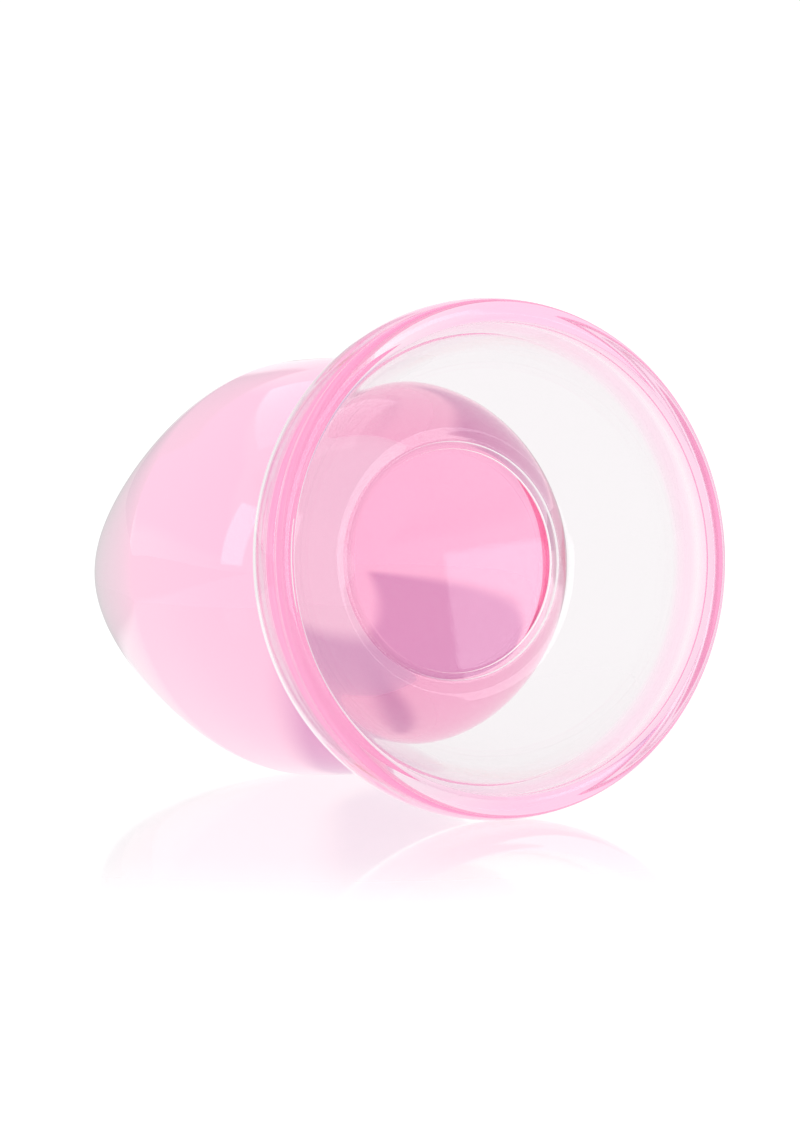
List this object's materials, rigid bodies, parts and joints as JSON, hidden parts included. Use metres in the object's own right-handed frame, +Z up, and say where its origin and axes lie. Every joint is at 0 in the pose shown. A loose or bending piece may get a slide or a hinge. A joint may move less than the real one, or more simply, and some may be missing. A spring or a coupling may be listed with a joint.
{
  "type": "bulb suction cup",
  "caption": "Soft clear elastomer moulding: an egg-shaped solid bulb on a short flexible neck, growing out of a wide concave suction dish with a thick sealing rim.",
  "frame": {"origin": "centre of the outline on the surface that the part lies on, at that surface's height", "axes": "+X towards the open face of the dish, -X towards the bulb's tip, +Z up; the part's own axis leans up towards +X by 7.3 degrees, because the rim is wider than the bulb and both touch the surface"},
  "size_m": [0.0954, 0.058, 0.0579],
  "materials": {
    "tinted_elastomer": "glossy, clear, tinted pink through its thickness",
    "thin_elastomer": "glossy, clear, almost colourless where it is thin"
  },
  "bodies": {
    "dish": {"rim": "tinted_elastomer", "web": "thin_elastomer"},
    "hub": {"hub": "tinted_elastomer"},
    "bulb": {"neck": "tinted_elastomer", "bulb": "tinted_elastomer"}
  },
  "joints": [
    {"name": "dish_press", "type": "slide", "parent": "dish", "child": "hub", "axis": [0.992, 0, 0.1265], "range_m": [0, 0.008], "stiffness_N_per_m": 1500, "deforming": ["web"]},
    {"name": "neck_bend", "type": "hinge", "parent": "hub", "child": "bulb", "pos_m": [0.02561, 0, 0.02689], "axis": [-0.1265, 0, 0.992], "range_deg": [-20, 20], "stiffness_Nm_per_rad": 2.5, "deforming": ["neck"]}
  ]
}
